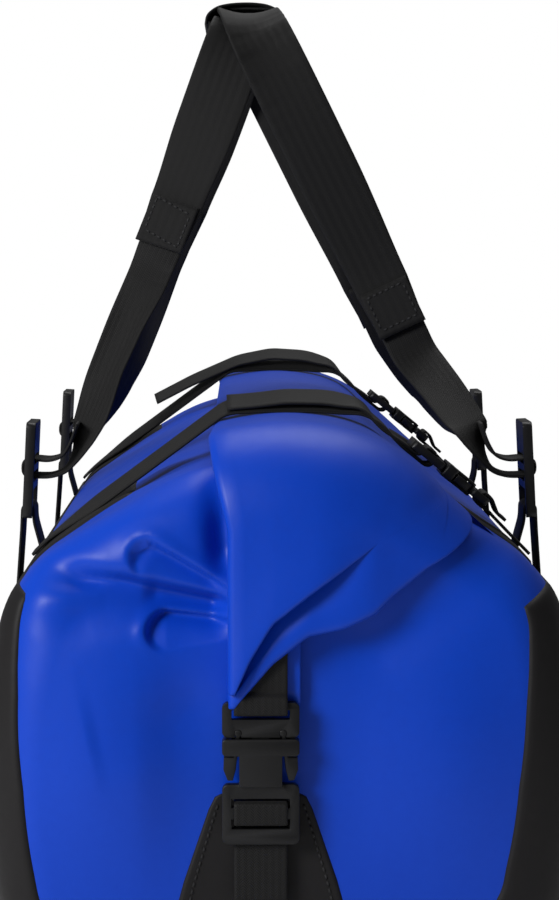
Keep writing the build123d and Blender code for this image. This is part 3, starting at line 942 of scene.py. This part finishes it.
# %% Bevelled hard parts
def softened(node, width=0.45 * mm):
    packed = frame["nodes"][node]
    mesh = bpy.data.meshes.new(f"{node}_moulded")
    work = bmesh.new()
    work.from_mesh(packed.data)
    bmesh.ops.remove_doubles(work, verts=work.verts, dist=0.00001)
    bmesh.ops.dissolve_limit(work, angle_limit=math.radians(3), verts=work.verts, edges=work.edges)
    for face in work.faces:
        face.smooth = True
    work.to_mesh(mesh)
    work.free()
    mesh.materials.append(buckle_plastic)
    piece = bpy.data.objects.new(f"{node}_moulded", mesh)
    bpy.context.scene.collection.objects.link(piece)
    bevel = piece.modifiers.new("soft_edges", "BEVEL")
    bevel.width, bevel.segments, bevel.limit_method = width, 2, "ANGLE"
    bevel.angle_limit, bevel.harden_normals = math.radians(35), True
    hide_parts(node)
    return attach(piece, packed["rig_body"])


hard_parts = [node for node, slot in slot_of_node.items() if slot == "buckle_plastic"]
for node in hard_parts:
    softened(node)
print("hard parts:", len(hard_parts))

# %% [markdown]
# ## Buckle frames
# A web is threaded through a buckle, so its path is written in the buckle's own terms: how far along the
# buckle, and how far above its middle plane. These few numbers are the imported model's own, in metres.


# %% Threaded paths
def side_view(origin, lean):
    """Turns (along, above) beside a buckle into the plane's own (across, up), lean degrees from upright."""
    up = np.array([-math.sin(math.radians(lean)), math.cos(math.radians(lean))])

    def spot(along, above, out=1):
        return np.array(origin) + along * mm * up + above * mm * out * np.array([up[1], -up[0]])

    return spot


def threaded(spot, inner, outer, half, come, tail, out=1):
    """Comes in behind the frame, goes out and over its bar, and leaves under itself."""
    front, under, behind = half + 1.1, -half - 1.1, -half - 2.9
    steps = [(come, behind), (inner, behind), (inner, front), (outer, front), (outer, under), (tail, under)]
    return [spot(a, b, out) for a, b in steps]


def side_spot(height, lift):
    """(x, z) beside the right side at a height in millimetres, lifted off it."""
    x, z, nx, nz = section(share_at_height(np.array(height * mm)))
    return np.array([x + lift * mm * nx, z + lift * mm * nz])


def in_xz(points, y):
    points = np.asarray(points)
    return np.stack([points[:, 0], np.full(len(points), y), points[:, 1]], -1)


def in_yz(points, x):
    points = np.asarray(points)
    return np.stack([np.full(len(points), x), points[:, 0], points[:, 1]], -1)


def web_piece(name, runs, finish, body, stands_for):
    """One piece from several ribbon runs."""
    points, faces, weave = joined(runs)
    piece = new_piece(name, points, faces, finish, stands_for, weave)
    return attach(piece, body)


def other_end(path, out):
    return path * np.array([1, -out, 1])


# %% [markdown]
# ## Webs of the two ends
# A 25 mm web comes out of the folded roll, loops the upper half of the buckle and goes back in. A blue strip
# lies behind it. Below, the web that pulls the roll down is sewn to the patch, runs up behind the buckle's
# adjuster, over its bar and hangs down as a tail. The part that is looped through the adjuster goes with the
# socket.

# %% End webs
web_width, narrow_width, web_thick = 25 * mm, 20 * mm, 1.6 * mm
socket_travel, strap_travel = 24 * mm, 20 * mm
end_spot = side_view((-(bag_half + 7.8 * mm), 110.8 * mm), 0)
half_loop = [(78, 0.9), (37.8, 0.9), (35.5, 3.6), (28, 3.6)]
loop_steps = half_loop + [(along, -off) for along, off in half_loop[::-1]]
loop_of_pull = threaded(end_spot, -14, -23.7, 2.5, -30, -62, -1)
pull_up = [end_spot(a, -5.2, -1) for a in (-76, -60, -44, -28)]
across_x = np.array([1.0, 0, 0])


def run_of_web(path, across, width, thick=web_thick, step=2.5 * mm, cup=0.0):
    (path,) = divided(path, step)
    return ribbon_rings(path, np.broadcast_to(across, path.shape).astype(float), width, thick, cup)


def narrow_web(name, run, body, stands_for):
    return web_piece(name, [run], narrow_webbing, body, stands_for)


for end, out in ENDS:
    loop = in_yz(rounded([end_spot(a, b, -1) for a, b in loop_steps], 1.4 * mm), buckle_x)
    narrow_web(f"{end}_roll_webbing", run_of_web(other_end(loop, out), across_x, web_width), "bag",
               [f"{end}_roll_web"])
    backing = in_yz([(-0.2830, 0.186), (-0.2836, 0.165), (-0.2832, 0.148), (-0.2820, 0.142)],
                    buckle_x + 4.5 * mm)
    strip = run_of_web(other_end(backing, out), across_x, 28 * mm, 0.7 * mm)
    web_piece(f"{end}_roll_backing", [strip], blue_cloth, "bag", [])
    pull = in_yz(rounded(loop_of_pull, 1.4 * mm), buckle_x)
    pull[-6:, 1] -= np.linspace(0, 2.2 * mm, 6)
    narrow_web(f"{end}_adjuster_loop", run_of_web(other_end(pull, out), across_x, web_width),
               f"{end}_end_socket", [])
    slack = run_of_web(other_end(in_yz(pull_up, buckle_x), out), across_x, web_width - 0.4 * mm)
    anchor = narrow_web(f"{end}_anchor_webbing", slack, "bag", [f"{end}_anchor_web"])
    sewn_z, joined_z = pull_up[0][1], pull_up[-1][1]
    1 - socket_travel / (joined_z - sewn_z)
    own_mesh(anchor)

# %% [markdown]
# ## Compression straps
# A narrow strap leaves a patch on the left shoulder, spans tight to the roll's corner, crosses the roll and
# goes down to its buckle. Over the adjuster bar it doubles back and its loose tail rides above it. The short
# web on the other side of the buckle loops through the socket.

# %% Compression straps
slope = 39.1
shoulder = side_view((90.9 * mm, 237.2 * mm), 90 - slope)
roll_top = table_z[-1] + lifts_top[1] + 1.2 * mm
lift_off = 2.6
left_up = [side_spot(h, lift_off) * np.array([-1, 1]) for h in (201, 208, 214)]
over_roll = [(roll_left + 1.5 * mm, roll_top + 0.6 * mm), (-12 * mm, roll_top + 1.6 * mm),
             (20 * mm, roll_top + 1.6 * mm), (40 * mm, roll_top - 0.6 * mm), (50 * mm, roll_top - 7.5 * mm)]
through = threaded(shoulder, 19.2, 26.4, 2.0, 38, 38.1)
tails = {
    "near": [(50, 276 - 11.5), (40, 276.8), (22, 280.2), (2, 280.6), (-14, 278.6), (-27, 277.6)],
    "far": [(50, 276 - 11.5), (40, 277.6), (22, 282.6), (0, 284.0), (-22, 279.6), (-52, 266.5), (-76, 254.0)],
}


def strap_across(path):
    """Across the strap: level at the buckle, and tipped to the near end where it spans the roll."""
    tip = smooth_step(55 * mm - path[:, 0], 0, 30 * mm) * smooth_step(path[:, 0] + 118 * mm, 0, 30 * mm)
    return np.stack([np.zeros(len(path)), np.ones(len(path)), 0.30 * tip], -1)


for end, out in ENDS:
    route = left_up + over_roll + list(through) + [np.array(p) * mm for p in tails[end]]
    (path,) = divided(in_xz(rounded(route, 5 * mm), out * strap_y), 3 * mm)
    strap = ribbon_rings(path, strap_across(path), narrow_width, web_thick)
    narrow_web(f"{end}_compression_strap", strap, "bag", [f"{end}_strap"])
    loop = [(-20, -3.1), (-9.8, -3.1), (-9.8, 3.1), (-15, 3.1), (-22, -1.0), (-27, -1.0)]
    path = in_xz(rounded([shoulder(a, b) for a, b in loop], 1.6 * mm), out * strap_y)
    narrow_web(f"{end}_strap_loop", run_of_web(path, (0, 1.0, 0), narrow_width), f"{end}_strap_socket", [])
    sewn = [side_spot(h, lift_off) for h in (201, 208)] + [shoulder(-19, -3.1)]
    path = in_xz(rounded(sewn, 1.6 * mm), out * strap_y)
    slack = run_of_web(path, (0, 1.0, 0), narrow_width - 0.4 * mm)
    anchor = narrow_web(f"{end}_strap_anchor_webbing", slack, "bag", [f"{end}_strap_anchor"])
    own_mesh(anchor)

# %% [markdown]
# ## Side webs
# From the bottom of each side panel a web runs up to a ladder-lock, goes round its lowest bar and is sewn down
# behind itself. Its folded lower end makes a small lump.

# %% Side webs
lock_x, lock_y, lock_z = 131 * mm, 130 * mm, 218 * mm
lifts_up_side = ((56, 3.0), (80, 2.7), (105, 2.7), (130, 2.7), (155, 2.7), (175, 2.9))
hugging = [side_spot(height, lift) for height, lift in lifts_up_side]
for end, out in ENDS:
    for side, hand in SIDES:
        turn = np.radians(np.linspace(0, 180, 9))
        round_bar = np.stack([lock_x + 2.9 * mm * np.cos(turn), lock_z + 2.9 * mm * np.sin(turn)], -1)
        back = [(lock_x - 3.0 * mm, lock_z - 6 * mm), side_spot(198, 1.0)]
        path = np.array(hugging + [np.array([lock_x + 3.4 * mm, lock_z - 10 * mm])] + list(round_bar) + back)
        lump = np.array([side_spot(h, lift) for h, lift in ((54, 3.2), (55, 4.9), (62, 4.9), (74, 4.7))])
        pair = [in_xz(rounded(p, 4 * mm) * np.array([hand, 1]), out * lock_y) for p in (path, lump)]
        web_piece(f"{end}_{side}_side_webbing", [run_of_web(p, (0, 1.0, 0), web_width) for p in pair],
                  narrow_webbing, "bag", [f"{end}_{side}_side_web"])

# %% [markdown]
# ## Stitches
# Sewn places on the end patches and the handle tabs show the thread itself: short raised lengths with a gap
# between, sunk at both ends where the needle went through. One function lays such a row along any line on a
# face. The end patches are sewn down both sides and across the top.


# %% Rows of stitches
def stitch_row(line, face, length=2.4 * mm, gap=1.1 * mm):
    """Ribbon runs for the stitches along a line. face is the direction that the sewn surface looks in."""
    way = length_along(line)
    run = line[-1] - line[0]
    aside = np.cross(face, run)
    aside = np.broadcast_to(aside / np.linalg.norm(aside), (3, 3))
    rows = []
    for start in np.arange(gap, way[-1] - length, length + gap):
        spots = start + np.array([0, 0.5, 1]) * length
        path = np.stack([np.interp(spots, way, values) for values in line.T], -1)
        path = path + face * np.array([[-0.15], [0.3], [-0.15]]) * mm
        rows.append(ribbon_rings(path, aside, 0.85 * mm, 0.55 * mm))
    return rows


for end, out in ENDS:
    sewn_rise = np.linspace(0.04, 0.95, 40)
    seams = []
    for side in (0.07, 0.93):
        line = patch_place(out)(sewn_rise, np.full(40, side), np.full(40, 1.3 * mm))
        seams += stitch_row(line, np.array([0.0, out, 0]))
    top_line = patch_place(out)(np.full(20, 0.95), np.linspace(0.1, 0.9, 20), np.full(20, 1.3 * mm))
    seams += stitch_row(top_line, np.array([0.0, out, 0]))
    web_piece(f"{end}_patch_stitches", seams, sewing_thread, "bag", [])

# %% [markdown]
# ## Carry handles
# Each handle is a wide soft band. Near each end it is folded round a narrower web and sewn through a tab. The
# web hangs slack, turns to face the ladder-lock, passes over its bars and leaves a short tail. The band's
# middle curls round its own length where the hand holds it, and the right band lies on the left one.


# %% Handle shapes
def unit(v):
    return np.array(v, float) / np.linalg.norm(v)


def between(start, end, leaving, arriving, count, pull=1.0):
    """Cubic curve from start to end that leaves and arrives in the given directions."""
    t = np.linspace(0, 1, count)[:, None]
    size = np.linalg.norm(end - start) * pull
    return ((2 * t**3 - 3 * t**2 + 1) * start + (t**3 - 2 * t**2 + t) * size * leaving
            + (3 * t**2 - 2 * t**3) * end + (t**3 - t**2) * size * arriving)


band_width, band_thick, tab_half = 34 * mm, 2.2 * mm, 12.5 * mm
right_grip, left_grip = 480.4 * mm, 476.4 * mm
handles = {
    "left": {"hand": -1, "tab": (-59, -85, 367), "across": (0.80, -0.30, -0.44), "leg": (0.36, 0.22, 0.91),
             "grip": (-18, -52)},
    "right": {"hand": 1, "tab": (62, -85, 322), "across": (0.88, 0.0, 0.42), "leg": (-0.42, 0.16, 0.89),
              "grip": (-16, -59)},
}
slack_line = [(119.5, 235.2), (112, 237.5), (106, 246), (101, 259)]
slack_tail = [(120, 243.6), (113, 245.6), (108.6, 253.0), (105.2, 263.0)]


def handle_frames(word):
    """Band path from the near tab up to the grip and down to the far tab, with its across, width and cup."""
    shape = handles[word]
    tab, across, leg = np.array(shape["tab"]) * mm, unit(shape["across"]), unit(shape["leg"])
    level = left_grip if word == "left" else right_grip
    grip = np.array([*np.array(shape["grip"]) * mm, level])
    low_end, high_end = tab - leg * tab_half, tab + leg * tab_half
    rise = between(high_end, grip, leg, np.array([0, 1.0, 0]), 26)
    t = np.linspace(0, 1, 26)[:, None]
    turned = across * (1 - smooth_step(t)) + across_x * smooth_step(t)
    path = np.concatenate([[low_end, tab], rise])
    sides = np.concatenate([[across, across], turned])
    widths = np.concatenate([[26 * mm, 28 * mm], (30 * mm + 4 * mm * smooth_step(t[:, 0] * 3))])
    cups = np.concatenate([[0.0, 0.0], 0.9 * smooth_step(t[:, 0], 0.45, 1.0)])
    far_path, far_sides = (path * flip_y)[::-1], (sides * flip_y)[::-1]
    level_run = np.linspace(path[-1], far_path[0], 14)[1:-1]
    path = np.concatenate([path, level_run, far_path])
    sides = np.concatenate([sides, np.broadcast_to(across_x, level_run.shape), far_sides])
    widths = np.concatenate([widths, np.full(len(level_run), band_width), widths[::-1]])
    cups = np.concatenate([cups, np.full(len(level_run), 0.9), cups[::-1]])
    path, sides, widths, cups = divided(path, 4 * mm, sides, widths[:, None], cups[:, None])
    return path, sides, widths[:, 0], cups[:, 0], tab, across, leg


def write_handle(word):
    hand, body = handles[word]["hand"], f"{word}_handle"
    path, sides, widths, cups, tab, across, leg = handle_frames(word)
    web_piece(f"{word}_handle_band_cloth", [ribbon_rings(path, sides, widths, band_thick, cups)], band_webbing,
              body, [f"{word}_handle_band"])
    face = np.cross(leg, across)
    face = unit(-face if face[1] > 0 else face)
    stack = (web_thick + band_thick) / 2 + 0.2 * mm
    tabs, seams = [], []
    for end, out in ENDS:
        mirror = np.array([1, -out, 1])
        middle = tab + face * stack
        run = np.array([middle - leg * (tab_half + 1.5 * mm), middle, middle + leg * tab_half]) * mirror
        tabs.append(run_of_web(run, across * mirror, 27 * mm))
        outside = middle + face * web_thick / 2
        seam = [outside + across * a * 10.6 * mm + leg * b * 9.6 * mm for a, b in corners + corners[:1]]
        for k in range(4):
            seams += stitch_row(np.array(seam[k : k + 2]) * mirror, face * mirror)
        web = [np.array([x * hand, -130, z]) * mm for x, z in slack_line]
        spot = side_view((hand * lock_x, lock_z), hand * 3)
        turns = (spot(a, b, hand) for a, b in ((17.5, -5.4), (17.5, 3.6), (26.5, 3.6), (26.5, -3.6)))
        threads = [np.array([x, -lock_y, z]) for x, z in turns]
        tail = [np.array([x * hand, -130, z]) * mm for x, z in slack_tail]
        back = tab - face * stack
        behind = [back - leg * tab_half * 2.2, back - leg * tab_half, back + leg * tab_half]
        line = np.array(tail[::-1] + threads[::-1] + web + behind)
        reach = np.concatenate([np.zeros(len(tail) + len(threads)), [0, 0.05, 0.20, 0.50, 0.85, 1.0, 1.0]])
        twist = np.array([0, hand, 0.0]) * (1 - reach[:, None]) + across * reach[:, None]
        both = rounded(np.concatenate([line, twist * 1e-6], 1), 5 * mm)
        bent, turned = both[:, :3], both[:, 3:] * 1e6
        bent, turned = divided(bent, 2.5 * mm, turned)
        above_lock = smooth_step(bent[:, 2], 262 * mm, 290 * mm)
        below_tab = smooth_step(-bent[:, 2], -(tab[2] - 25 * mm), -(tab[2] - 60 * mm))
        cup = 0.001 + 1.3 * above_lock * below_tab
        rings = ribbon_rings(bent * mirror, turned * mirror, web_width, web_thick, cup)
        narrow_web(f"{end}_{word}_handle_webbing", rings, body, [f"{end}_{word}_handle_web"])
    web_piece(f"{word}_handle_tab_cloth", tabs, band_webbing, body, [f"{word}_handle_tabs"])
    web_piece(f"{word}_handle_stitches", seams, sewing_thread, body, [])


for word in handles:
    write_handle(word)

# %% [markdown]
# ## The wrap
# A short padded wrap holds the two bands together. Its base lies under them, its flap comes over the top from a
# hem on the left, and hook tape under the flap closes it. Both are curled by the bands inside.

# %% Wrap
wrap_length = 96 * mm
base_path = [(1.5, 478), (0, 474.6), (-7, 472.6), (-20, 472.0), (-31, 472.8), (-36.4, 475.0), (-37.2, 478.2)]
flap_path = [(-38.9, 477), (-38.2, 482), (-33, 486.2), (-25, 487.8), (-14, 488.2), (-5, 487.2), (1.6, 484),
             (3.6, 478.5)]
layers = (("wrap_base", base_path, "left_handle", 1.7), ("wrap_flap", flap_path, "wrap", 1.9))
for name, line, body, thick in layers:
    path = in_xz(rounded(np.array(line) * mm, 6 * mm), 0.0)
    run = run_of_web(path, (0, 1.0, 0), wrap_length, thick * mm, 2 * mm)
    web_piece(f"{name}_cloth", [run], wrap_cloth, body, [name])

hook_low, hook_high = (np.array(corner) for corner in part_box("hook_strip"))
hook_middle = (hook_low[0] + hook_high[0]) / 2
hook_line = np.array([[hook_middle, hook_low[1], 486.0 * mm], [hook_middle, hook_high[1], 486.0 * mm]])
hook_run = run_of_web(hook_line, across_x, hook_high[0] - hook_low[0], 1.0 * mm)
web_piece("hook_tape_strip", [hook_run], hook_material, "wrap", ["hook_strip"])

# %% [markdown]
# ## Last update
# The view layer is brought up to date.

# %% Finish
bpy.context.view_layer.update()
